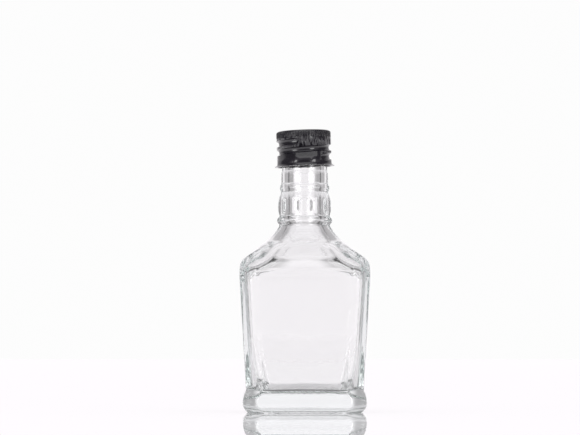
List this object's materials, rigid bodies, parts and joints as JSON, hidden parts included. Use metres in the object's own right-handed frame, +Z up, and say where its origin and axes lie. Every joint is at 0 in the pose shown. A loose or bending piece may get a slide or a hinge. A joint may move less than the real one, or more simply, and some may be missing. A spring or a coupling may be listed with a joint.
{
  "type": "miniature spirits bottle",
  "caption": "Empty square clear glass miniature spirits bottle with facetted shoulder, collared neck and black screw cap.",
  "frame": {"origin": "on the bottle's axis, at the level of the ring it stands on", "axes": "+Z up along the bottle's axis, -Y towards the front face, +X to the right seen from the front"},
  "size_m": [0.0436, 0.0436, 0.0946],
  "materials": {
    "flint_glass": "clear moulded flint glass, polished, faintly green where thick",
    "black_lacquered_aluminium": "gloss black lacquer on rolled aluminium sheet"
  },
  "bodies": {
    "root": {"bottle": "flint_glass", "cap": "black_lacquered_aluminium"}
  },
  "joints": []
}
